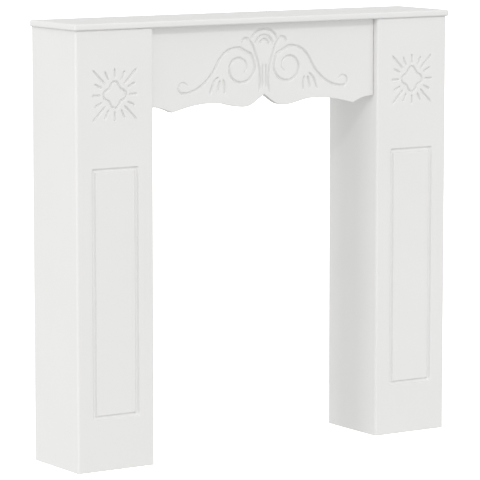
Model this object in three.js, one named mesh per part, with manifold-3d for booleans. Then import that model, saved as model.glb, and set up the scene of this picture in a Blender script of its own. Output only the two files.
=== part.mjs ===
// Fireplace mantelpiece in white-painted boards, with routed scrolls, sun rosettes and rectangles.
// Millimetres, +Z up. The front faces -Y, and the origin is on the floor at the middle of the outline.

import * as THREE from 'three';
import { mergeVertices } from 'three/addons/utils/BufferGeometryUtils.js';
import Module from 'manifold-3d';

const wasm = await Module();
wasm.setup();

// Overall sizes
const TOTAL_HEIGHT = 980;
const BODY_WIDTH = 990; // over both jambs, without the shelf's overhang
const JAMB_WIDTH = 195;
const JAMB_DEPTH = 190;

// Boards
const SHELF_THICKNESS = 15;
const SHELF_OVERHANG = 5; // past the jambs, at the front and at both ends
const SHELF_EDGE_RADIUS = 4;
const JAMB_BOARD_THICKNESS = 15;
const JAMB_EDGE_RADIUS = 5;
const FRIEZE_THICKNESS = 15;
const FRIEZE_SETBACK = 15; // behind the jambs' front faces
const FRIEZE_END_HEIGHT = 175; // where the frieze meets a jamb
const FRIEZE_EDGE_RADIUS = 1.2;
const JOINT_GAP = 0.3; // between any two boards that touch

// Lower edge of the frieze, as heights against its level at the jambs
const WAVE_TIP_RISE = 16;
const WAVE_LOBE_DROP = 10;
const WAVE_CREST_RISE = 2;
const WAVE_CUSP_DROP = 14;

// Routed rectangle on each jamb, measured to the middle of its groove
const PANEL_SIDE_MARGIN = 43.5;
const PANEL_TOP_MARGIN = 304;
const PANEL_FOOT_MARGIN = 119;
const PANEL_GROOVE_WIDTH = 11;
const PANEL_GROOVE_DEPTH = 5;

// Sun rosette on each jamb
const SUN_DROP = 141; // from the top of the jamb to its middle
const SUN_RAY_START = 36;
const SUN_RAY_END = 57;
const SUN_DIAGONAL_RAY_START = 34;
const SUN_DIAGONAL_RAY_END = 78;
const SUN_SIDE_RAY_ANGLE = 26; // degrees, from the next upright or level ray
const SUN_HEART_REACH = 29; // the lobed line in the middle, at its four tips
const SUN_HEART_WAIST = 20; // and between two tips
const SUN_GROOVE_WIDTH = 5.5;
const SUN_GROOVE_DEPTH = 4;

// Scroll work on the frieze
const SCROLL_SIDE_MARGIN = 71;
const SCROLL_TOP_MARGIN = 13;
const SCROLL_FOOT_MARGIN = 18; // above the frieze's lower edge at the jambs
const SCROLL_GROOVE_WIDTH = 6;
const SCROLL_GROOVE_DEPTH = 4.5;

// The scroll work is drawn in a field of this size, from its middle line and its foot
const DRAWN_HALF_WIDTH = 229;
const DRAWN_HEIGHT = 144;

// Fineness of round edges, of a round groove and of a ray
const EDGE_STEPS = 4;
const COVE_STEPS = 6;
const VEE_STEPS = 2;
const RAY_STEPS = 6;
const HEART_STEPS = 48;
const WAVE_STEPS = 9; // between two knots of the wave
const WAVE_HANDLE = 0.4; // of the width between two knots

// An open groove starts with this share of its depth, and is as deep as it gets after a sixth of its length
const GROOVE_END_SHARE = 0.35;
const GROOVE_RUN_IN = 6;
const CUTTER_LIFT = 1; // how far a cutter stands out of the face that it cuts

// Sizes that follow from the ones above
const jambHeight = TOTAL_HEIGHT - SHELF_THICKNESS - JOINT_GAP;
const openingWidth = BODY_WIDTH - 2 * JAMB_WIDTH;
const backY = (JAMB_DEPTH + SHELF_OVERHANG) / 2;
const jambFrontY = backY - JAMB_DEPTH;
const friezeFrontY = jambFrontY + FRIEZE_SETBACK;
const friezeEndZ = TOTAL_HEIGHT - SHELF_THICKNESS - FRIEZE_END_HEIGHT;

// One closed body from rings of points. Open ends are capped, and a closed row joins its last ring
// to its first.
function loft(rings, closed = false) {
  const count = rings[0].length;
  const positions = rings.flatMap((ring) => ring.flatMap((point) => point.toArray()));
  const indices = [];
  const spans = closed ? rings.length : rings.length - 1;
  for (let i = 0; i < spans; i += 1) {
    const near = i * count;
    const far = ((i + 1) % rings.length) * count;
    for (let j = 0; j < count; j += 1) {
      const next = (j + 1) % count;
      indices.push(near + j, near + next, far + next);
      indices.push(near + j, far + next, far + j);
    }
  }
  if (!closed) {
    const last = (rings.length - 1) * count;
    for (let j = 1; j < count - 1; j += 1) {
      indices.push(0, j + 1, j);
      indices.push(last, last + j, last + j + 1);
    }
  }
  const geometry = new THREE.BufferGeometry();
  geometry.setAttribute('position', new THREE.Float32BufferAttribute(positions, 3));
  geometry.setIndex(facingOut(positions, indices));
  return geometry;
}

// The same triangles, turned round where they enclose a negative volume.
function facingOut(positions, indices) {
  const corner = (index) => new THREE.Vector3().fromArray(positions, 3 * index);
  let volume = 0;
  for (let i = 0; i < indices.length; i += 3) {
    const [a, b, c] = [corner(indices[i]), corner(indices[i + 1]), corner(indices[i + 2])];
    volume += a.dot(b.cross(c));
  }
  return volume < 0 ? indices.toReversed() : indices;
}

function toSolid(geometry) {
  const plain = geometry.clone();
  plain.deleteAttribute('normal');
  plain.deleteAttribute('uv');
  const merged = mergeVertices(plain);
  const vertProperties = new Float32Array(merged.attributes.position.array);
  const triVerts = new Uint32Array(merged.index.array);
  return new wasm.Manifold(new wasm.Mesh({ numProp: 3, vertProperties, triVerts }));
}

function toGeometry(solid) {
  const mesh = solid.getMesh();
  const geometry = new THREE.BufferGeometry();
  geometry.setAttribute('position', new THREE.Float32BufferAttribute(mesh.vertProperties, 3));
  geometry.setIndex(Array.from(mesh.triVerts));
  return geometry;
}

function cutAway(geometry, cutters) {
  const board = cutters.reduce((rest, cutter) => rest.subtract(toSolid(cutter)), toSolid(geometry));
  return toGeometry(board);
}

// Inset and height of each step round a quarter circle, from a side face to the face square to it.
function quarterRound(radius) {
  return Array.from({ length: EDGE_STEPS + 1 }, (_, step) => {
    const angle = (step / EDGE_STEPS) * (Math.PI / 2);
    return { inset: radius * (1 - Math.cos(angle)), rise: radius * (1 - Math.sin(angle)) };
  });
}

// A groove of V section along points on a face, shallower and narrower towards both ends.
function veeGroove(points, faceY, width, depth) {
  const slope = width / (2 * depth);
  const rings = points.map((point, i) => {
    const before = points[Math.max(i - 1, 0)];
    const after = points[Math.min(i + 1, points.length - 1)];
    const along = after.clone().sub(before).normalize();
    const across = new THREE.Vector2(-along.y, along.x);
    const share = i / (points.length - 1);
    const cut = depth * Math.min(1, GROOVE_END_SHARE + GROOVE_RUN_IN * Math.min(share, 1 - share));
    const reach = slope * (cut + CUTTER_LIFT);
    const lip = (side) => point.clone().addScaledVector(across, side * reach);
    return [lip(1), lip(-1), point].map(
      (place, k) => new THREE.Vector3(place.x, faceY + (k === 2 ? cut : -CUTTER_LIFT), place.y),
    );
  });
  return loft(rings);
}

// A groove along a closed outline, mitred at its corners. Many steps round its bottom, and two make a V.
function grooveLoop(corners, faceY, width, depth, steps) {
  const section = Array.from({ length: steps + 1 }, (_, step) => {
    const angle = Math.PI * (step / steps);
    return { offset: (width / 2) * Math.cos(angle), cut: depth * Math.sin(angle) };
  });
  section.push({ offset: -width / 2, cut: -CUTTER_LIFT }, { offset: width / 2, cut: -CUTTER_LIFT });
  const rings = corners.map((corner, i) => {
    const before = corners[(i + corners.length - 1) % corners.length];
    const after = corners[(i + 1) % corners.length];
    const into = corner.clone().sub(before).normalize();
    const out = after.clone().sub(corner).normalize();
    const normalIn = new THREE.Vector2(into.y, -into.x);
    const normalOut = new THREE.Vector2(out.y, -out.x);
    const mitre = normalIn.clone().add(normalOut).divideScalar(1 + normalIn.dot(normalOut));
    return section.map(({ offset, cut }) => {
      const place = corner.clone().addScaledVector(mitre, offset);
      return new THREE.Vector3(place.x, faceY + cut, place.y);
    });
  });
  return loft(rings, true);
}

// Shelf: its front and end edges are rounded above and below, and its back edge is square.
function shelfGeometry() {
  const halfLength = BODY_WIDTH / 2 + SHELF_OVERHANG;
  const frontY = jambFrontY - SHELF_OVERHANG;
  const ring = (inset, z) => [
    new THREE.Vector3(-halfLength + inset, frontY + inset, z),
    new THREE.Vector3(halfLength - inset, frontY + inset, z),
    new THREE.Vector3(halfLength - inset, backY, z),
    new THREE.Vector3(-halfLength + inset, backY, z),
  ];
  const round = quarterRound(SHELF_EDGE_RADIUS);
  const lower = round.map(({ inset, rise }) => ring(inset, rise)).reverse();
  const upper = round.map(({ inset, rise }) => ring(inset, SHELF_THICKNESS - rise));
  return loft([...lower, ...upper]);
}

// Sun rosette: a line of four lobes inside a circle of rays, of which the diagonal ones are the longest.
function sunCutters(centre) {
  const toward = (degrees, radius) => {
    const angle = THREE.MathUtils.degToRad(degrees);
    return new THREE.Vector2(Math.cos(angle), Math.sin(angle)).multiplyScalar(radius).add(centre);
  };
  const meanReach = (SUN_HEART_REACH + SUN_HEART_WAIST) / 2;
  const swing = (SUN_HEART_REACH - SUN_HEART_WAIST) / 2;
  const lobes = Array.from({ length: HEART_STEPS }, (_, step) => {
    const degrees = (360 * step) / HEART_STEPS;
    return toward(degrees, meanReach + swing * Math.cos(4 * THREE.MathUtils.degToRad(degrees)));
  });
  const ray = (degrees, start, end) => {
    const points = Array.from({ length: RAY_STEPS + 1 }, (_, step) =>
      toward(degrees, THREE.MathUtils.lerp(start, end, step / RAY_STEPS)),
    );
    return veeGroove(points, jambFrontY, SUN_GROOVE_WIDTH, SUN_GROOVE_DEPTH);
  };
  const cutters = [grooveLoop(lobes, jambFrontY, SUN_GROOVE_WIDTH, SUN_GROOVE_DEPTH, VEE_STEPS)];
  for (const straight of [0, 90, 180, 270]) {
    for (const turn of [-SUN_SIDE_RAY_ANGLE, 0, SUN_SIDE_RAY_ANGLE]) {
      cutters.push(ray(straight + turn, SUN_RAY_START, SUN_RAY_END));
    }
    cutters.push(ray(straight + 45, SUN_DIAGONAL_RAY_START, SUN_DIAGONAL_RAY_END));
  }
  return cutters;
}

function panelCutter() {
  const halfWidth = JAMB_WIDTH / 2 - PANEL_SIDE_MARGIN;
  const top = jambHeight - PANEL_TOP_MARGIN;
  const corners = [
    new THREE.Vector2(-halfWidth, PANEL_FOOT_MARGIN),
    new THREE.Vector2(halfWidth, PANEL_FOOT_MARGIN),
    new THREE.Vector2(halfWidth, top),
    new THREE.Vector2(-halfWidth, top),
  ];
  return grooveLoop(corners, jambFrontY, PANEL_GROOVE_WIDTH, PANEL_GROOVE_DEPTH, COVE_STEPS);
}

// Face board of a jamb, in the jamb's own frame: both upright front edges are rounded.
function jambFrontGeometry() {
  const halfWidth = JAMB_WIDTH / 2;
  const behindY = jambFrontY + JAMB_BOARD_THICKNESS;
  const round = quarterRound(JAMB_EDGE_RADIUS);
  const left = round.map(({ inset, rise }) => [-halfWidth + inset, jambFrontY + rise]);
  const right = round.map(({ inset, rise }) => [halfWidth - inset, jambFrontY + rise]).reverse();
  const outline = [...left, ...right, [halfWidth, behindY], [-halfWidth, behindY]];
  const ring = (z) => outline.map(([x, y]) => new THREE.Vector3(x, y, z));
  const sunCentre = new THREE.Vector2(0, jambHeight - SUN_DROP);
  return cutAway(loft([ring(0), ring(jambHeight)]), [panelCutter(), ...sunCutters(sunCentre)]);
}

// Lower edge of the frieze from its middle to a jamb, as points of distance and height.
function waveHalf() {
  const halfWidth = openingWidth / 2 - JOINT_GAP;
  const knots = [
    { share: 0, rise: WAVE_TIP_RISE, slopeOut: -0.65 },
    { share: 0.177, rise: -WAVE_LOBE_DROP, slopeIn: 0, slopeOut: 0 },
    { share: 0.45, rise: WAVE_CREST_RISE, slopeIn: 0, slopeOut: 0 },
    { share: 0.807, rise: -WAVE_CUSP_DROP, slopeIn: -0.25, slopeOut: 0.45 },
    { share: 1, rise: 0, slopeIn: 0 },
  ];
  const points = [];
  for (let i = 0; i < knots.length - 1; i += 1) {
    const start = new THREE.Vector2(knots[i].share * halfWidth, friezeEndZ + knots[i].rise);
    const end = new THREE.Vector2(knots[i + 1].share * halfWidth, friezeEndZ + knots[i + 1].rise);
    const pull = WAVE_HANDLE * (end.x - start.x);
    const curve = new THREE.CubicBezierCurve(
      start,
      new THREE.Vector2(start.x + pull, start.y + pull * knots[i].slopeOut),
      new THREE.Vector2(end.x - pull, end.y - pull * knots[i + 1].slopeIn),
      end,
    );
    points.push(...curve.getPoints(WAVE_STEPS).slice(i === 0 ? 0 : 1));
  }
  return points;
}

function friezeBlank() {
  const half = waveHalf();
  const mirrored = half.slice(1).reverse().map((point) => new THREE.Vector2(-point.x, point.y));
  const topZ = TOTAL_HEIGHT - SHELF_THICKNESS - JOINT_GAP;
  const behindY = friezeFrontY + FRIEZE_THICKNESS;
  const round = quarterRound(FRIEZE_EDGE_RADIUS);
  const rings = [...mirrored, ...half].map(({ x, y: z }) => [
    new THREE.Vector3(x, behindY, topZ),
    new THREE.Vector3(x, friezeFrontY, topZ),
    ...round.map(({ inset, rise }) => new THREE.Vector3(x, friezeFrontY + inset, z + rise)),
    new THREE.Vector3(x, behindY, z),
  ]);
  return loft(rings);
}

function arcPoints(centre, startAngle, endAngle, startRadii, endRadii, steps) {
  return Array.from({ length: steps + 1 }, (_, step) => {
    const share = step / steps;
    const angle = THREE.MathUtils.degToRad(THREE.MathUtils.lerp(startAngle, endAngle, share));
    const radii = startRadii.clone().lerp(endRadii, share);
    return new THREE.Vector2(Math.cos(angle), Math.sin(angle)).multiply(radii).add(centre);
  });
}

// Large scroll: a small end curl, an S up to the crown, and the volute's winding to its eye.
function scrollLine() {
  const curlRadius = new THREE.Vector2(12, 12);
  const curl = arcPoints(new THREE.Vector2(214, 20.5), 160, -90, curlRadius, curlRadius, 14);
  const rising = new THREE.CubicBezierCurve(
    new THREE.Vector2(214, 8.5),
    new THREE.Vector2(172, 8),
    new THREE.Vector2(140, 42),
    new THREE.Vector2(126, 68),
  );
  const crown = new THREE.CubicBezierCurve(
    new THREE.Vector2(126, 68),
    new THREE.Vector2(113, 93),
    new THREE.Vector2(96, 104.5),
    new THREE.Vector2(66, 104.5),
  );
  return [...curl, ...rising.getPoints(10).slice(1), ...crown.getPoints(8).slice(1), ...voluteLine()];
}

// The volute turns 45 degrees from each of these distances from its eye to the next.
function voluteLine() {
  const reaches = [43, 38.5, 34.5, 31.5, 30, 29, 26.5, 23, 20, 17, 13.5];
  const eye = new THREE.Vector2(64, 58);
  const knots = reaches.map((reach, i) => {
    const angle = THREE.MathUtils.degToRad(135 + 45 * i);
    return new THREE.Vector2(Math.cos(angle), Math.sin(angle)).multiplyScalar(reach).add(eye);
  });
  return new THREE.SplineCurve(knots).getPoints(30);
}

function splineLine(steps, ...pairs) {
  return new THREE.SplineCurve(pairs.map(([x, y]) => new THREE.Vector2(x, y))).getPoints(steps);
}

// Every line of the scroll work, in its drawn field. Those of the right half come back mirrored too.
function ornamentLines() {
  const rightHalf = [
    scrollLine(),
    splineLine(14, [41, 123], [30, 107], [20, 82], [14, 62], [11.5, 42], [11.5, 22], [15, 2]),
    splineLine(4, [4.5, 66], [4.5, 40], [5, 12]),
    splineLine(6, [41, 123], [47, 125], [54, 123], [60, 116]),
    splineLine(5, [121, 41], [133, 30], [139, 17], [144, 4]),
    splineLine(4, [117, 34], [121, 22], [124, 9]),
    splineLine(4, [109, 35], [105, 20], [106, 3]),
  ];
  const leftHalf = rightHalf.map((line) => line.map((point) => new THREE.Vector2(-point.x, point.y)));
  const arch = (centreY, width, height, from) => {
    const radii = new THREE.Vector2(width / 2, height);
    return arcPoints(new THREE.Vector2(0, centreY), from, 180 - from, radii, radii, 14);
  };
  return [...rightHalf, ...leftHalf, arch(112, 72, 32, 14), arch(104, 48, 26, 8), arch(104, 26, 17, 20)];
}

function friezeGeometry() {
  const stretch = (openingWidth / 2 - SCROLL_SIDE_MARGIN) / DRAWN_HALF_WIDTH;
  const rise = (FRIEZE_END_HEIGHT - SCROLL_TOP_MARGIN - SCROLL_FOOT_MARGIN) / DRAWN_HEIGHT;
  const footZ = friezeEndZ + SCROLL_FOOT_MARGIN;
  const cutters = ornamentLines().map((line) => {
    const placed = line.map((point) => new THREE.Vector2(point.x * stretch, footZ + point.y * rise));
    return veeGroove(placed, friezeFrontY, SCROLL_GROOVE_WIDTH, SCROLL_GROOVE_DEPTH);
  });
  return cutAway(friezeBlank(), cutters);
}

function board(name, geometry) {
  const paint = new THREE.MeshStandardMaterial({ color: 0xeeeeec, roughness: 0.45, metalness: 0 });
  const mesh = new THREE.Mesh(geometry, paint);
  mesh.name = name;
  return mesh;
}

// One jamb: a face board with two side boards behind it, open towards the wall.
function makeJamb(side) {
  const jamb = new THREE.Group();
  const sign = side === 'left' ? -1 : 1;
  jamb.position.x = (sign * (BODY_WIDTH - JAMB_WIDTH)) / 2;
  jamb.add(board(`${side}_jamb_front`, jambFrontGeometry()));
  const sideDepth = JAMB_DEPTH - JAMB_BOARD_THICKNESS - JOINT_GAP;
  const sideOffset = (JAMB_WIDTH - JAMB_BOARD_THICKNESS) / 2;
  for (const [place, direction] of [['outer', sign], ['inner', -sign]]) {
    const geometry = new THREE.BoxGeometry(JAMB_BOARD_THICKNESS, sideDepth, jambHeight);
    const sideBoard = board(`${side}_jamb_${place}_side`, geometry);
    sideBoard.position.set(direction * sideOffset, backY - sideDepth / 2, jambHeight / 2);
    jamb.add(sideBoard);
  }
  return jamb;
}

const mantelpiece = new THREE.Group();
const shelf = board('mantel_shelf', shelfGeometry());
shelf.position.z = TOTAL_HEIGHT - SHELF_THICKNESS;
mantelpiece.add(shelf, makeJamb('left'), makeJamb('right'), board('frieze_board', friezeGeometry()));
mantelpiece.updateMatrixWorld(true);

export default mantelpiece;
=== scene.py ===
"""Looks of a white fireplace mantelpiece: sprayed boards with routed scrolls, suns and rectangles.

Sizes are in millimetres unless a name says otherwise. Meshes are written in metres.
"""

import logging
from dataclasses import dataclass, field
from enum import Enum
from typing import Any

import bpy
import numpy as np
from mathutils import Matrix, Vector


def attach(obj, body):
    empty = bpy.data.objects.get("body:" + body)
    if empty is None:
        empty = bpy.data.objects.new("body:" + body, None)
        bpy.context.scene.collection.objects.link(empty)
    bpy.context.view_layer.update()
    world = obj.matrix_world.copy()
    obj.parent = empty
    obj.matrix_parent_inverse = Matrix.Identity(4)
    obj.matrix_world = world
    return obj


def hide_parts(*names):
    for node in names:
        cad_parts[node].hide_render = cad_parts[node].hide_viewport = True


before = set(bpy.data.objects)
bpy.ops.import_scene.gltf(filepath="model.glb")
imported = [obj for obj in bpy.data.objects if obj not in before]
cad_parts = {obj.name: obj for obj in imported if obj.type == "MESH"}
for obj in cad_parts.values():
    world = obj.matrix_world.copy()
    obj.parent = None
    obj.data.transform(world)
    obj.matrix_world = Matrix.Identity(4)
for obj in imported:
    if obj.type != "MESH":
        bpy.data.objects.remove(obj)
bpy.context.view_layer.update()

LOG = logging.getLogger("mantelpiece")
MM = 0.001
ROOT_BODY = "root"
FRAME_PIXELS = 480
# A flat has a line of points this close to a round, so that the round's soft shading ends there.
FLAT_STRIP = 1.0
# Beyond this many half widths from its line, a groove's formula isn't followed any further.
FAR_OUT = 2.0
# Places of the two colours and of the result among the sockets of a node that mixes colours.
MIX_FIRST, MIX_SECOND, MIX_RESULT = 6, 7, 2


class Side(Enum):
    """Which jamb a board belongs to, as the direction of X that it stands in."""

    LEFT = -1
    RIGHT = 1


class Cut(Enum):
    """Form of a routed groove: a vee narrows to its bottom, and a cove is round all through."""

    VEE = "vee"
    COVE = "cove"


def linear(hex_colour: str) -> tuple[float, float, float, float]:
    """Turn an sRGB colour into the linear colour that a shader takes.

    Args:
        hex_colour: six hexadecimal digits, such as "EDEDEB".

    Returns:
        Red, green, blue and an alpha of one.
    """
    channels = [int(hex_colour[i : i + 2], 16) / 255 for i in (0, 2, 4)]
    lit = [c / 12.92 if c <= 0.04045 else ((c + 0.055) / 1.055) ** 2.4 for c in channels]
    return (lit[0], lit[1], lit[2], 1.0)


def add_node(tree: Any, kind: str, settings: dict[str, Any], links: dict[str, Any]) -> Any:
    """Add one shader node.

    Args:
        tree: the material's node tree.
        kind: the node's type name.
        settings: socket values by socket name, or node properties by property name.
        links: output sockets by the name of the input that each goes to.

    Returns:
        The new node.
    """
    node = tree.nodes.new(kind)
    for name, value in settings.items():
        if name in node.inputs:
            node.inputs[name].default_value = value
        else:
            setattr(node, name, value)
    for name, socket in links.items():
        tree.links.new(socket, node.inputs[name])
    return node


@dataclass(frozen=True)
class SprayedPaint:
    """Satin white paint, sprayed on sanded fibreboard.

    The spray leaves a neutral white of even tone, a soft sheen, and a faint orange peel. The peel's
    real dimples are 1 to 2 mm wide, and are drawn 3 mm wide so that they show at all.
    """

    name: str = "sprayed_satin_paint_on_fibreboard"
    colour: str = "E4E4E3"
    colour_in_drift: str = "E0E0DE"
    drift_mm: float = 160.0
    roughness_low: float = 0.38
    roughness_high: float = 0.5
    mottle_mm: float = 22.0
    peel_mm: float = 3.0
    peel_depth_mm: float = 0.012
    octave_falloff: float = 0.5
    paint_ior: float = 1.5

    def build(self) -> bpy.types.Material:
        """Make the material from noise on object coordinates.

        Returns:
            The material.
        """
        material = bpy.data.materials.new(self.name)
        material.use_nodes = True
        tree = material.node_tree
        tree.nodes.clear()
        place = add_node(tree, "ShaderNodeTexCoord", {}, {}).outputs["Object"]

        def noise(size_mm: float, octaves: float) -> Any:
            """Noise whose features are about size_mm wide."""
            grain = {"Scale": 1 / (size_mm * MM), "Detail": octaves, "Roughness": self.octave_falloff}
            return add_node(tree, "ShaderNodeTexNoise", grain, {"Vector": place}).outputs["Fac"]

        drift = noise(self.drift_mm, octaves=2.0)
        tone = add_node(tree, "ShaderNodeMix", {"data_type": "RGBA"}, {"Factor": drift})
        tone.inputs[MIX_FIRST].default_value = linear(self.colour)
        tone.inputs[MIX_SECOND].default_value = linear(self.colour_in_drift)
        sheen_range = {"To Min": self.roughness_low, "To Max": self.roughness_high}
        mottle = noise(self.mottle_mm, octaves=3.0)
        sheen = add_node(tree, "ShaderNodeMapRange", sheen_range, {"Value": mottle})
        peel = add_node(
            tree,
            "ShaderNodeBump",
            {"Strength": 1.0, "Distance": self.peel_depth_mm * MM},
            {"Height": noise(self.peel_mm, octaves=1.0)},
        )
        shader = add_node(
            tree,
            "ShaderNodeBsdfPrincipled",
            {"IOR": self.paint_ior, "Metallic": 0.0},
            {
                "Base Color": tone.outputs[MIX_RESULT],
                "Roughness": sheen.outputs["Result"],
                "Normal": peel.outputs["Normal"],
            },
        )
        add_node(tree, "ShaderNodeOutputMaterial", {}, {"Surface": shader.outputs["BSDF"]})
        return material


@dataclass(frozen=True)
class PaleFloor:
    """Matt white studio floor, lit from below, so that it runs into the background without shadow."""

    name: str = "matt_white_lit_floor"
    colour: str = "FFFFFF"
    roughness: float = 0.9
    glow: float = 1.0

    def build(self) -> bpy.types.Material:
        """Make the material.

        Returns:
            The material.
        """
        material = bpy.data.materials.new(self.name)
        material.use_nodes = True
        tree = material.node_tree
        tree.nodes.clear()
        settings = {
            "Base Color": linear(self.colour),
            "Roughness": self.roughness,
            "Emission Color": linear(self.colour),
            "Emission Strength": self.glow,
        }
        shader = add_node(tree, "ShaderNodeBsdfPrincipled", settings, {})
        add_node(tree, "ShaderNodeOutputMaterial", {}, {"Surface": shader.outputs["BSDF"]})
        return material


def ring_mesh(
    name: str, rings: np.ndarray, paint: bpy.types.Material, smooth_angle: float = 0.6
) -> bpy.types.Object:
    """Skin a row of closed rings into one closed body, with a flat cap on each end.

    The surface is the grid of points P(i, j), where i counts the rings and j the points round a
    ring. Each cell of the grid is one four-sided face.

    Args:
        name: the object's name.
        rings: points in millimetres, of shape (rings, points of a ring, 3).
        paint: the material.
        smooth_angle: the angle in radians up to which an edge is shaded smooth.

    Returns:
        The new object, linked to the scene.
    """
    count, size = rings.shape[:2]
    points = rings.reshape(-1, 3) * MM
    i, j = np.meshgrid(np.arange(count - 1), np.arange(size), indexing="ij")
    near = (i * size + j).ravel()
    near_next = (i * size + (j + 1) % size).ravel()
    far = near + size
    far_next = near_next + size
    sides = np.stack([near, near_next, far_next, far], axis=1)
    caps = [np.arange(size)[::-1], (count - 1) * size + np.arange(size)]
    faces = [*sides.tolist(), *(cap.tolist() for cap in caps)]
    mesh = bpy.data.meshes.new(name)
    mesh.from_pydata(points.tolist(), [], faces)
    mesh.validate()
    mesh.materials.append(paint)
    if enclosed_volume(mesh) < 0:
        mesh.flip_normals()
    mesh.shade_smooth()
    mesh.set_sharp_from_angle(angle=smooth_angle)
    piece = bpy.data.objects.new(name, mesh)
    bpy.context.scene.collection.objects.link(piece)
    return piece


def enclosed_volume(mesh: bpy.types.Mesh) -> float:
    """Sum of the signed volumes between the origin and each triangle.

    Args:
        mesh: a closed mesh.

    Returns:
        The volume, negative if the faces point inwards.
    """
    mesh.calc_loop_triangles()
    corners = np.empty(len(mesh.vertices) * 3, np.float32)
    mesh.vertices.foreach_get("co", corners)
    index = np.empty(len(mesh.loop_triangles) * 3, np.int32)
    mesh.loop_triangles.foreach_get("vertices", index)
    a, b, c = np.moveaxis(corners.reshape(-1, 3).astype(float)[index.reshape(-1, 3)], 1, 0)
    return float(np.einsum("ij,ij->i", a, np.cross(b, c)).sum() / 6)


def quarter_round(radius: float, steps: int) -> tuple[np.ndarray, np.ndarray]:
    """Round an edge: with a from 0 to 90 degrees, inset r(1 - cos a) and rise r(1 - sin a).

    Args:
        radius: radius of the round.
        steps: number of spans.

    Returns:
        The insets and the rises.
    """
    angle = np.linspace(0, np.pi / 2, steps + 1)
    return radius * (1 - np.cos(angle)), radius * (1 - np.sin(angle))


def rounded_ends(flat: np.ndarray, radius: float, steps: int) -> tuple[np.ndarray, np.ndarray]:
    """Carry the positions over a board's flat face on round the quarter round at either end.

    Args:
        flat: positions over the flat part, rising.
        radius: radius of both rounds.
        steps: number of spans in each round.

    Returns:
        All positions, and how far the surface lies behind the flat face at each.
    """
    inset, rise = quarter_round(radius, steps)
    low = flat[0] - radius + inset[:-1]
    high = (flat[-1] + radius - inset[:-1])[::-1]
    behind = np.concatenate([rise[:-1], np.zeros(len(flat)), rise[:-1][::-1]])
    return np.concatenate([low, flat, high]), behind


def graded(stops: list[float], spacings: list[float]) -> np.ndarray:
    """Positions between stops, each stretch divided evenly by spans no longer than its spacing.

    Args:
        stops: the ends of the stretches, rising.
        spacings: the longest span in each stretch.

    Returns:
        Every position once, rising.
    """
    stretches = [
        np.linspace(low, high, max(1, int(np.ceil((high - low) / spacing))) + 1)[:-1]
        for low, high, spacing in zip(stops[:-1], stops[1:], spacings)
    ]
    return np.concatenate([*stretches, [stops[-1]]])


@dataclass
class RoutedLine:
    """One groove, cut along a line of points on a board's face."""

    points: np.ndarray
    width: float
    depth: float
    cut: Cut = Cut.VEE
    closed: bool = False
    lip_round: float = 0.35
    bottom_round: float = 0.12
    end_share: float = 0.35
    end_slope: float = 6.0

    def cut_depth(self, across: np.ndarray, up: np.ndarray) -> np.ndarray:
        """Depth of the groove at places on the face.

        With q the distance from the line over half the groove's width, a vee is depth * (e - q) with
        a rounded bottom, and a cove is depth * (1 - q * q). Both meet the face in a soft lip. The ease
        e is one, but along an open vee it falls to end_share at each end, so that the groove grows
        shallower and narrower there.

        Args:
            across: horizontal places.
            up: heights, of the same shape.

        Returns:
            Depths, zero away from the groove.
        """
        depths = np.zeros(across.shape)
        reach = self.width
        low, high = self.points.min(0) - reach, self.points.max(0) + reach
        near = (across > low[0]) & (across < high[0]) & (up > low[1]) & (up < high[1])
        if not near.any():
            return depths
        distance, share = self._nearest(np.stack([across[near], up[near]], axis=1))
        q = distance / (self.width / 2)
        if self.cut is Cut.COVE:
            raw = self.depth * (1 - np.minimum(q, FAR_OUT) ** 2)
        else:
            ease = np.ones(len(share))
            if not self.closed:
                ease = np.minimum(1, self.end_share + self.end_slope * np.minimum(share, 1 - share))
            q = np.sqrt(q**2 + self.bottom_round**2) - self.bottom_round
            raw = self.depth * (ease - np.minimum(q, FAR_OUT))
        soft = (raw + np.sqrt(raw**2 + self.lip_round**2)) / 2
        # The soft lip would never quite end, so what it still gives far out is taken off.
        far_value = (self.lip_round**2) / (4 * self.depth)
        depths[near] = np.maximum(0, soft - far_value)
        return depths

    def _nearest(self, places: np.ndarray) -> tuple[np.ndarray, np.ndarray]:
        """Find the point of the line that is nearest to each place.

        Args:
            places: points on the face, of shape (count, 2).

        Returns:
            The distances to it, and how far along the line it lies, from 0 to 1.
        """
        line = np.vstack([self.points, self.points[:1]]) if self.closed else self.points
        spans = np.diff(line, axis=0)
        lengths = np.linalg.norm(spans, axis=1)
        starts = np.concatenate([[0], np.cumsum(lengths)])
        best = np.full(len(places), np.inf)
        share = np.zeros(len(places))
        for start, span, length, run in zip(line[:-1], spans, lengths, starts[:-1]):
            along = np.clip(((places - start) @ span) / length**2, 0, 1)
            gap = np.linalg.norm(places - start - along[:, None] * span, axis=1)
            closer = gap < best
            best[closer] = gap[closer]
            share[closer] = (run + along[closer] * length) / starts[-1]
        return best, share


def relief(lines: list[RoutedLine], across: np.ndarray, up: np.ndarray) -> np.ndarray:
    """Depth of the deepest of several grooves at each place on a face.

    Args:
        lines: the grooves.
        across: horizontal places.
        up: heights, of the same shape.

    Returns:
        Depths, zero where no groove is.
    """
    depths = np.zeros(across.shape)
    for line in lines:
        depths = np.maximum(depths, line.cut_depth(across, up))
    return depths


def arc(
    centre: tuple[float, float],
    angles: tuple[float, float],
    radii: tuple[tuple[float, float], tuple[float, float]],
    steps: int,
) -> np.ndarray:
    """Points round a centre while the angle and both radii change evenly.

    Args:
        centre: the middle of the arc.
        angles: first and last angle in degrees.
        radii: the two half-axes at the start and at the end.
        steps: number of spans.

    Returns:
        Points of shape (steps + 1, 2).
    """
    share = np.linspace(0, 1, steps + 1)[:, None]
    angle = np.radians(angles[0] + (angles[1] - angles[0]) * share)
    radius = np.array(radii[0]) * (1 - share) + np.array(radii[1]) * share
    return np.array(centre) + radius * np.hstack([np.cos(angle), np.sin(angle)])


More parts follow.
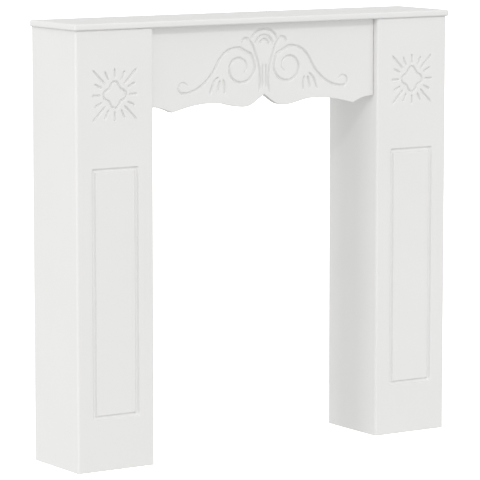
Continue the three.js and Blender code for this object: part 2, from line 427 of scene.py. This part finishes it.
def bezier(handles: list[tuple[float, float]], steps: int) -> np.ndarray:
    """Points on a cubic curve.

    With t from 0 to 1, a point is the sum of the four handles a, b, c and d, weighted by (1 - t)^3,
    3t(1 - t)^2, 3t^2(1 - t) and t^3.

    Args:
        handles: the start, the two handles between, and the end.
        steps: number of spans.

    Returns:
        Points of shape (steps + 1, 2).
    """
    t = np.linspace(0, 1, steps + 1)[:, None]
    a, b, c, d = (np.array(handle) for handle in handles)
    return (1 - t) ** 3 * a + 3 * (1 - t) ** 2 * t * b + 3 * (1 - t) * t**2 * c + t**3 * d


def spline(knots: list[tuple[float, float]], steps: int) -> np.ndarray:
    """Smooth line through every knot: between two knots the tangents are half the way past them.

    Args:
        knots: points that the line passes through.
        steps: number of spans between two knots.

    Returns:
        Points of the line.
    """
    place = np.array(knots, float)
    before = np.vstack([place[:1], place[:-1]])
    after = np.vstack([place[1:], place[-1:]])
    tangent = (after - before) / 2
    t = np.linspace(0, 1, steps, endpoint=False)[:, None]
    pieces = [
        (2 * t**3 - 3 * t**2 + 1) * place[i]
        + (t**3 - 2 * t**2 + t) * tangent[i]
        + (3 * t**2 - 2 * t**3) * place[i + 1]
        + (t**3 - t**2) * tangent[i + 1]
        for i in range(len(place) - 1)
    ]
    return np.vstack([*pieces, place[-1:]])


def settle(piece: bpy.types.Object, *nodes: str) -> bpy.types.Object:
    """Make a piece ride with the mantelpiece and stand for its solids.

    Args:
        piece: the object.
        nodes: the solids that it stands for.

    Returns:
        The same object.
    """
    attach(piece, ROOT_BODY)
    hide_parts(*nodes)
    return piece


@dataclass
class Mantelpiece:
    """Sizes that the boards share."""

    total_height: float = 980.0
    body_width: float = 990.0
    jamb_width: float = 195.0
    jamb_depth: float = 190.0
    shelf_thickness: float = 15.0
    shelf_overhang: float = 5.0
    joint_gap: float = 0.3

    @property
    def back_y(self) -> float:
        """Plane of the wall behind, so that the middle of the shelf lies at zero."""
        return (self.jamb_depth + self.shelf_overhang) / 2

    @property
    def front_y(self) -> float:
        """Plane of the jambs' faces."""
        return self.back_y - self.jamb_depth

    @property
    def shelf_under_z(self) -> float:
        """Underside of the shelf."""
        return self.total_height - self.shelf_thickness

    @property
    def opening_width(self) -> float:
        """Clear width between the jambs."""
        return self.body_width - 2 * self.jamb_width


@dataclass
class MantelShelf:
    """The flat top board, rounded above and below along its front and its two ends."""

    whole: Mantelpiece
    edge_radius: float = 4.0
    corner_radius: float = 4.5
    flat_strip: float = 0.4
    steps: int = 8

    def build(self, paint: bpy.types.Material) -> list[bpy.types.Object]:
        """Skin the board from its outlines at rising heights.

        Args:
            paint: the material.

        Returns:
            The board.
        """
        top = self.whole.shelf_thickness
        inset, rise = quarter_round(self.edge_radius, self.steps)
        low = [self._outline(a, z) for a, z in zip(inset[::-1], rise[::-1])]
        high = [self._outline(a, top - z) for a, z in zip(inset, rise)]
        flat = [self._outline(self.edge_radius, z, self.flat_strip) for z in (0, top)]
        rings = np.array([flat[0], *low, *high, flat[1]])
        rings[..., 2] += self.whole.shelf_under_z
        return [settle(ring_mesh("shelf_board", rings, paint), "mantel_shelf")]

    def _outline(self, inset: float, z: float, strip: float = 0.0) -> np.ndarray:
        """Outline from above: a rectangle with two rounded front corners.

        Args:
            inset: how far the front and the two ends are drawn in.
            z: height over the shelf's underside.
            strip: how far all four sides are drawn in besides.

        Returns:
            Points of shape (count, 3).
        """
        half = self.whole.body_width / 2 + self.whole.shelf_overhang - inset - strip
        front = self.whole.front_y - self.whole.shelf_overhang + inset + strip
        radius = self.corner_radius - inset - strip
        right = arc((half - radius, front + radius), (-90, 0), ((radius,) * 2,) * 2, self.steps)
        left = right[::-1] * (-1, 1)
        back = [(half, self.whole.back_y - strip), (-half, self.whole.back_y - strip)]
        flat = np.vstack([left, right, back])
        return np.hstack([flat, np.full((len(flat), 1), z)])


@dataclass
class JambFace:
    """A jamb's face board, with its routed sun and upright rectangle."""

    whole: Mantelpiece
    thickness: float = 15.0
    edge_radius: float = 5.0
    edge_steps: int = 8
    foot_ease: float = 1.2
    foot_steps: int = 4
    panel_side_margin: float = 43.5
    panel_top_margin: float = 304.0
    panel_foot_margin: float = 119.0
    panel_groove: tuple[float, float] = (11.0, 5.0)
    sun_drop: float = 141.0
    sun_groove: tuple[float, float] = (5.5, 4.0)
    heart_reach: float = 29.0
    heart_waist: float = 20.0
    heart_lobes: int = 4
    heart_points: int = 72
    ray_ends: tuple[float, float] = (36.0, 57.0)
    diagonal_ray_ends: tuple[float, float] = (34.0, 78.0)
    side_ray_angle: float = 26.0
    diagonal_ray_angle: float = 45.0
    # Spacing of the lines of points where the face is routed, and where it is plain.
    fine: float = 0.8
    coarse: float = 24.0
    # Share of a long ray's reach, and of the panel groove's width, that has the fine spacing.
    sun_field_share: float = 0.78
    groove_field_share: float = 0.8

    @property
    def height(self) -> float:
        """Height of the jamb's boards."""
        return self.whole.shelf_under_z - self.whole.joint_gap

    @property
    def sun_z(self) -> float:
        """Height of the middle of the sun."""
        return self.height - self.sun_drop

    def lines(self) -> list[RoutedLine]:
        """Every groove of the face, from the jamb's middle line and the floor.

        Returns:
            The panel's line, the sun's middle and its rays.
        """
        half = self.whole.jamb_width / 2 - self.panel_side_margin
        top = self.height - self.panel_top_margin
        foot = self.panel_foot_margin
        corners = np.array([(-half, foot), (half, foot), (half, top), (-half, top)])
        panel = RoutedLine(corners, *self.panel_groove, cut=Cut.COVE, closed=True)
        return [panel, self._heart(), *self._rays()]

    def _toward(self, degrees: np.ndarray, reach: np.ndarray) -> np.ndarray:
        """Points round the sun's middle: reach * (cos a, sin a) from it, for each angle a."""
        angle = np.radians(degrees)
        return np.stack([reach * np.cos(angle), self.sun_z + reach * np.sin(angle)], axis=-1)

    def _heart(self) -> RoutedLine:
        """The line of lobes round the sun's middle: its reach is mean + swing * cos(lobes * a).

        Returns:
            The closed groove.
        """
        mean = (self.heart_reach + self.heart_waist) / 2
        swing = (self.heart_reach - self.heart_waist) / 2
        degrees = np.linspace(0, 360, self.heart_points, endpoint=False)
        line = self._toward(degrees, mean + swing * np.cos(np.radians(self.heart_lobes * degrees)))
        return RoutedLine(line, *self.sun_groove, closed=True)

    def _rays(self) -> list[RoutedLine]:
        """Sixteen rays: short ones straight and to either side of straight, and long diagonal ones.

        Returns:
            One groove a ray.
        """
        short = np.array(self.ray_ends)
        long = np.array(self.diagonal_ray_ends)
        turns = [(turn, short) for turn in (-self.side_ray_angle, 0, self.side_ray_angle)]
        turns.append((self.diagonal_ray_angle, long))
        return [
            RoutedLine(self._toward(np.full(2, straight + turn), reach), *self.sun_groove)
            for straight in (0, 90, 180, 270)
            for turn, reach in turns
        ]

    def _columns(self) -> np.ndarray:
        """Places across the flat of the face, close together where it is routed.

        Returns:
            The places from the jamb's middle line, rising.
        """
        flat_half = self.whole.jamb_width / 2 - self.edge_radius
        field_half = self.diagonal_ray_ends[1] * self.sun_field_share
        left_stops = [-flat_half, -flat_half + FLAT_STRIP, -field_half]
        right_stops = [field_half, flat_half - FLAT_STRIP, flat_half]
        return graded(
            left_stops + right_stops,
            [FLAT_STRIP, self.coarse, self.fine, self.coarse, FLAT_STRIP],
        )

    def _rows(self) -> np.ndarray:
        """Heights from the eased foot to the shelf, close together where the face is routed.

        The upright grooves of the panel run through plain rows, since they are straight there.

        Returns:
            The heights over the floor, rising.
        """
        field_half = self.diagonal_ray_ends[1] * self.sun_field_share
        groove = self.panel_groove[0] * self.groove_field_share
        foot = self.panel_foot_margin
        top = self.height - self.panel_top_margin
        fields = [(foot - groove, foot + groove), (top - groove, top + groove)]
        fields.append((self.sun_z - field_half, self.sun_z + field_half))
        stops = [self.foot_ease, self.foot_ease + FLAT_STRIP, *np.ravel(fields), self.height]
        return graded(stops, [FLAT_STRIP, *[self.coarse, self.fine] * len(fields), self.coarse])

    def build(self, side: Side, paint: bpy.types.Material) -> list[bpy.types.Object]:
        """Skin the board from its level sections at rising heights, with the relief in its face.

        A point of the face lies as far behind its plane as the deepest of three says: the grooves,
        the round of the upright edges, and the ease of the foot.

        Args:
            side: which jamb it is.
            paint: the material.

        Returns:
            The board.
        """
        half = self.whole.jamb_width / 2
        columns, edge_depth = rounded_ends(self._columns(), self.edge_radius, self.edge_steps)
        upper = self._rows()
        inset, rise = quarter_round(self.foot_ease, self.foot_steps)
        heights = np.concatenate([rise[1:][::-1], upper])
        foot_depth = np.concatenate([inset[1:][::-1], np.zeros(len(upper))])[:, None]
        across, up = np.meshgrid(columns, heights)
        depth = np.maximum(relief(self.lines(), across, up), np.maximum(edge_depth, foot_depth))
        level = np.ones((len(heights), 1))
        middle_x = side.value * (self.whole.body_width - self.whole.jamb_width) / 2
        ring_x = middle_x + np.hstack([across, level * [half, -half]])
        ring_y = self.whole.front_y + np.hstack([depth, level * [self.thickness, self.thickness]])
        ring_z = np.broadcast_to(heights[:, None], ring_x.shape)
        rings = np.stack([ring_x, ring_y, ring_z], axis=-1)
        name = side.name.lower()
        return [settle(ring_mesh(f"{name}_face_board", rings, paint), f"{name}_jamb_front")]


@dataclass
class JambSides:
    """The two plain boards behind a jamb's face board. Paint closes the joints between the three."""

    whole: Mantelpiece
    face: JambFace
    thickness: float = 15.0
    eased_edge: float = 0.8
    steps: int = 3
    levels: int = 9

    def build(self, side: Side, paint: bpy.types.Material) -> list[bpy.types.Object]:
        """Skin both boards from their level outlines.

        Args:
            side: which jamb it is.
            paint: the material.

        Returns:
            The outer board and the inner one.
        """
        made = []
        jamb = side.name.lower()
        jamb_x = side.value * (self.whole.body_width - self.whole.jamb_width) / 2
        for place, turn in (("outer", side.value), ("inner", -side.value)):
            rings = self._rings(jamb_x + turn * (self.whole.jamb_width - self.thickness) / 2)
            board = ring_mesh(f"{jamb}_{place}_side_board", rings, paint)
            made.append(settle(board, f"{jamb}_jamb_{place}_side"))
        return made

    def _rings(self, x: float) -> np.ndarray:
        """Level outlines: square against the face board, and eased at the two edges by the wall.

        Args:
            x: the plane halfway through the board.

        Returns:
            Points of shape (levels, points of an outline, 3).
        """
        half = self.thickness / 2
        front = self.whole.front_y + self.face.thickness
        radius = self.eased_edge
        back = self.whole.back_y
        right = arc((half - radius, back - radius), (0, 90), ((radius,) * 2,) * 2, self.steps)
        left = right[::-1] * (-1, 1)
        strip_y = back - radius - FLAT_STRIP
        flat = np.vstack([
            [(-half, front), (half, front), (half, strip_y)],
            right,
            left,
            [(-half, strip_y)],
        ]) + (x, 0)
        heights = np.linspace(0, self.face.height, self.levels)
        return np.array([np.hstack([flat, np.full((len(flat), 1), z)]) for z in heights])


@dataclass
class Frieze:
    """The board between the jambs, with a wavy lower edge and scroll work."""

    whole: Mantelpiece
    thickness: float = 15.0
    setback: float = 15.0
    end_height: float = 175.0
    edge_radius: float = 1.2
    edge_steps: int = 6
    end_gap: float = 0.7
    groove: tuple[float, float] = (6.0, 4.5)
    stalk_groove: tuple[float, float] = (4.2, 3.2)
    side_margin: float = 71.0
    top_margin: float = 13.0
    foot_margin: float = 18.0
    drawn_half_width: float = 229.0
    drawn_height: float = 144.0
    stroke_steps: int = 6
    wave_pull: float = 0.4
    wave_steps: int = 40
    column_step: float = 1.15
    face_rows: int = 150
    wave: list[tuple[float, float, float, float]] = field(
        default_factory=lambda: [
            (0.0, 16.0, 0.0, -0.65),
            (0.177, -10.0, 0.0, 0.0),
            (0.45, 2.0, 0.0, 0.0),
            (0.807, -14.0, -0.25, 0.45),
            (1.0, 0.0, 0.0, 0.0),
        ]
    )

    @property
    def end_z(self) -> float:
        """Height of the lower edge where it meets a jamb."""
        return self.whole.shelf_under_z - self.end_height

    def lower_edge(self, across: np.ndarray) -> np.ndarray:
        """Height of the wavy edge, the same on both sides of the middle.

        Each knot of the wave gives its share of the half width, its rise, and its slopes before and
        after. Between two knots the edge is a cubic curve, whose handles reach wave_pull of the span.

        Args:
            across: horizontal places from the middle.

        Returns:
            Heights over the floor.
        """
        half = self.whole.opening_width / 2
        lines = []
        for start, end in zip(self.wave[:-1], self.wave[1:]):
            x0, x1 = start[0] * half, end[0] * half
            pull = self.wave_pull * (x1 - x0)
            handles = [
                (x0, start[1]),
                (x0 + pull, start[1] + pull * start[3]),
                (x1 - pull, end[1] - pull * end[2]),
                (x1, end[1]),
            ]
            lines.append(bezier(handles, self.wave_steps))
        line = np.vstack(lines)
        return self.end_z + np.interp(np.abs(across), line[:, 0], line[:, 1])

    def lines(self) -> list[RoutedLine]:
        """The scroll work: the lines of the right half, their mirror images, and the three arches.

        The lines are drawn from the middle of the frieze and the foot of its ornament, and are then
        stretched to the real size.

        Returns:
            One groove a line.
        """
        strokes = [
            [(41, 123), (30, 107), (20, 82), (14, 62), (11.5, 42), (11.5, 22), (15, 2)],
            [(41, 123), (47, 125), (54, 123), (60, 116)],
            [(121, 41), (133, 30), (139, 17), (144, 4)],
            [(117, 34), (121, 22), (124, 9)],
            [(109, 35), (105, 20), (106, 3)],
        ]
        stalk = [(4.5, 66), (4.5, 40), (5, 12)]
        # An arch has the height of its middle, its end angles, its half-axes and its number of spans.
        arches = [
            arc((0, height), ends, (half_axes, half_axes), steps)
            for height, ends, half_axes, steps in (
                (112, (14, 166), (36, 32), 32),
                (104, (8, 172), (24, 26), 28),
                (104, (20, 160), (13, 17), 20),
            )
        ]
        right = [self._scroll(), *(spline(knots, self.stroke_steps) for knots in strokes)]
        wide = [*right, *(line * (-1, 1) for line in right), *arches]
        narrow = [spline(stalk, self.stroke_steps) * (turn, 1) for turn in (1, -1)]
        drawn_to_real = np.array([
            (self.whole.opening_width / 2 - self.side_margin) / self.drawn_half_width,
            (self.end_height - self.top_margin - self.foot_margin) / self.drawn_height,
        ])
        foot = np.array([0, self.end_z + self.foot_margin])
        return [
            RoutedLine(foot + line * drawn_to_real, *cut)
            for drawn, cut in ((wide, self.groove), (narrow, self.stalk_groove))
            for line in drawn
        ]

    def _scroll(self) -> np.ndarray:
        """Large scroll: an end curl, an S up to the crown, and the winding volute to its eye.

        The volute starts at the crown, and its reach from its middle is given at every eighth of a
        turn.

        Returns:
            Points of the drawn line.
        """
        long_steps, crown_steps, volute_steps = 24, 16, 8
        first_degrees, eighth_turn = 135, 45
        curl = arc((214, 20.5), (160, -90), ((12, 12),) * 2, long_steps)
        rising = bezier([(214, 8.5), (172, 8), (140, 42), (126, 68)], long_steps)
        crown = bezier([(126, 68), (113, 93), (96, 104.5), (66, 104.5)], crown_steps)
        reaches = np.array([43, 38.5, 34.5, 31.5, 30, 29, 26.5, 23, 20, 17, 13.5])
        angle = np.radians(first_degrees + eighth_turn * np.arange(len(reaches)))
        toward = np.stack([np.cos(angle), np.sin(angle)], axis=1)
        knots = np.array([64, 58]) + reaches[:, None] * toward
        return np.vstack([curl, rising[1:], crown[1:], spline(knots, volute_steps)])

    def build(self, paint: bpy.types.Material) -> list[bpy.types.Object]:
        """Skin the board from its upright sections, taken from the left end to the right.

        A point of the face lies as far behind its plane as the deepest of three says: the grooves,
        the round of the two ends, and the round of the lower edge.

        Args:
            paint: the material.

        Returns:
            The board.
        """
        flat_half = self.whole.opening_width / 2 - self.end_gap - self.edge_radius
        flat = graded([-flat_half, 0, flat_half], [self.column_step, self.column_step])
        columns, end_depth = rounded_ends(flat, self.edge_radius, self.edge_steps)
        inset, rise = quarter_round(self.edge_radius, self.edge_steps)
        front = self.whole.front_y + self.setback
        top = self.whole.shelf_under_z - self.whole.joint_gap
        edge_z = self.lower_edge(columns)[:, None]
        share = np.linspace(0, 1, self.face_rows + 1)
        face_z = top + (edge_z + self.edge_radius - top) * share
        across = np.broadcast_to(columns[:, None], face_z.shape)
        upright = np.ones((len(columns), 1))
        depth = np.hstack([relief(self.lines(), across, face_z), upright * inset[1:]])
        ring_y = front + np.hstack([
            np.maximum(depth, end_depth[:, None]),
            upright * [self.thickness, self.thickness],
        ])
        ring_z = np.hstack([face_z, edge_z + rise[1:], edge_z, upright * top])
        ring_x = np.broadcast_to(columns[:, None], ring_y.shape)
        rings = np.stack([ring_x, ring_y, ring_z], axis=-1)
        return [settle(ring_mesh("routed_frieze", rings, paint), "frieze_board")]


@dataclass
class PhotoCamera:
    """The photograph's view: from the front left, a little above the shelf, with a long lens."""

    place_m: tuple[float, float, float] = (-3.8722, -5.8819, 1.3970)
    heading_degrees: float = 33.263
    dip_degrees: float = 7.505
    focal_pixels: float = 3132.9
    sensor_mm: float = 36.0
    near_m: float = 0.1
    far_m: float = 200.0

    def build(self) -> None:
        """Make the camera and give it to the scene."""
        lens = bpy.data.cameras.new("photo_camera")
        lens.sensor_width = self.sensor_mm
        lens.lens = self.focal_pixels * self.sensor_mm / FRAME_PIXELS
        lens.clip_start = self.near_m
        lens.clip_end = self.far_m
        camera = bpy.data.objects.new("photo_camera", lens)
        heading = np.radians(self.heading_degrees)
        dip = np.radians(self.dip_degrees)
        ahead = Vector((np.sin(heading) * np.cos(dip), np.cos(heading) * np.cos(dip), -np.sin(dip)))
        camera.location = self.place_m
        camera.rotation_mode = "QUATERNION"
        camera.rotation_quaternion = ahead.to_track_quat("-Z", "Y")
        bpy.context.scene.collection.objects.link(camera)
        bpy.context.scene.camera = camera


@dataclass(frozen=True)
class Lamp:
    """One far, soft lamp.

    The heading is where it stands, in degrees from straight ahead to the right. The height is in
    degrees over the horizon, the softness is its width in degrees as seen from the mantelpiece, and
    the strength is its light in watts per square metre.
    """

    name: str
    heading: float
    height: float
    softness: float
    strength: float
    distance_m: float = 5.0

    def build(self) -> None:
        """Make the lamp and turn it to the mantelpiece."""
        light = bpy.data.lights.new(self.name, "SUN")
        light.energy = self.strength
        light.angle = np.radians(self.softness)
        heading = np.radians(self.heading)
        height = np.radians(self.height)
        level = np.cos(height)
        toward = Vector((np.sin(heading) * level, -np.cos(heading) * level, np.sin(height)))
        lamp = bpy.data.objects.new(self.name, light)
        lamp.location = toward * self.distance_m
        lamp.rotation_mode = "QUATERNION"
        lamp.rotation_quaternion = (-toward).to_track_quat("-Z", "Y")
        bpy.context.scene.collection.objects.link(lamp)


@dataclass
class Studio:
    """Pale floor, pale surroundings, a key lamp on either side of the front, and four weak fills.

    Two of the fills stand almost edge-on to the jambs' side boards, one on each side of their plane,
    so that they light only the front and the back strip of the right jamb's inner side.
    """

    floor_span_m: float = 120.0
    surround: tuple[tuple[float, float], ...] = (
        (0.0, 0.10),
        (0.3, 0.96),
        (0.5, 0.87),
        (0.7, 0.85),
        (1.0, 0.80),
    )
    lamps: tuple[Lamp, ...] = (
        Lamp("key_lamp", heading=-29.0, height=37.6, softness=5.0, strength=0.46),
        Lamp("right_key_lamp", heading=35.0, height=33.0, softness=8.0, strength=0.23),
        Lamp("front_fill_lamp", heading=0.0, height=3.0, softness=6.0, strength=0.26),
        Lamp("side_fill_lamp", heading=-85.8, height=3.0, softness=8.4, strength=0.43),
        Lamp("side_back_fill_lamp", heading=-93.0, height=3.0, softness=6.0, strength=0.22),
        Lamp("back_fill_lamp", heading=-118.0, height=8.0, softness=60.0, strength=0.12),
    )

    def build(self) -> None:
        """Make the floor, the surroundings and the lamps."""
        self._floor()
        self._surround()
        for lamp in self.lamps:
            lamp.build()
        bpy.context.scene.view_settings.view_transform = "Standard"

    def _floor(self) -> None:
        """Lay the floor. It throws no light on the mantelpiece."""
        half = self.floor_span_m / 2
        mesh = bpy.data.meshes.new("studio_floor")
        corners = [(-half, -half, 0), (half, -half, 0), (half, half, 0), (-half, half, 0)]
        mesh.from_pydata(corners, [], [(0, 1, 2, 3)])
        mesh.materials.append(PaleFloor().build())
        floor = bpy.data.objects.new("studio_floor", mesh)
        floor.visible_diffuse = False
        floor.visible_glossy = False
        bpy.context.scene.collection.objects.link(floor)

    def _surround(self) -> None:
        """Light from all round, whose strength follows the direction's height from nadir to zenith."""
        world = bpy.data.worlds.new("pale_surround")
        world.use_nodes = True
        tree = world.node_tree
        way = add_node(tree, "ShaderNodeTexCoord", {}, {}).outputs["Generated"]
        rise = add_node(tree, "ShaderNodeSeparateXYZ", {}, {"Vector": way}).outputs["Z"]
        share = add_node(tree, "ShaderNodeMapRange", {"From Min": -1.0}, {"Value": rise})
        ramp = add_node(tree, "ShaderNodeValToRGB", {}, {"Fac": share.outputs["Result"]})
        stops = ramp.color_ramp.elements
        for place, _ in self.surround[1:-1]:
            stops.new(place)
        for stop, (place, strength) in zip(stops, self.surround):
            stop.position = place
            stop.color = (strength, strength, strength, 1.0)
        tree.links.new(ramp.outputs["Color"], tree.nodes["Background"].inputs["Color"])
        bpy.context.scene.world = world


def main() -> None:
    """Build the scene in order and report each piece."""
    logging.basicConfig(level=logging.INFO, format="%(name)s: %(message)s")
    PhotoCamera().build()
    Studio().build()
    paint = SprayedPaint().build()
    whole = Mantelpiece()
    face = JambFace(whole)
    pieces = MantelShelf(whole).build(paint)
    for side in Side:
        pieces += face.build(side, paint)
        pieces += JambSides(whole, face).build(side, paint)
    pieces += Frieze(whole).build(paint)
    for piece in pieces:
        LOG.info("%s: %d faces", piece.name, len(piece.data.polygons))


if __name__ == "__main__":
    main()
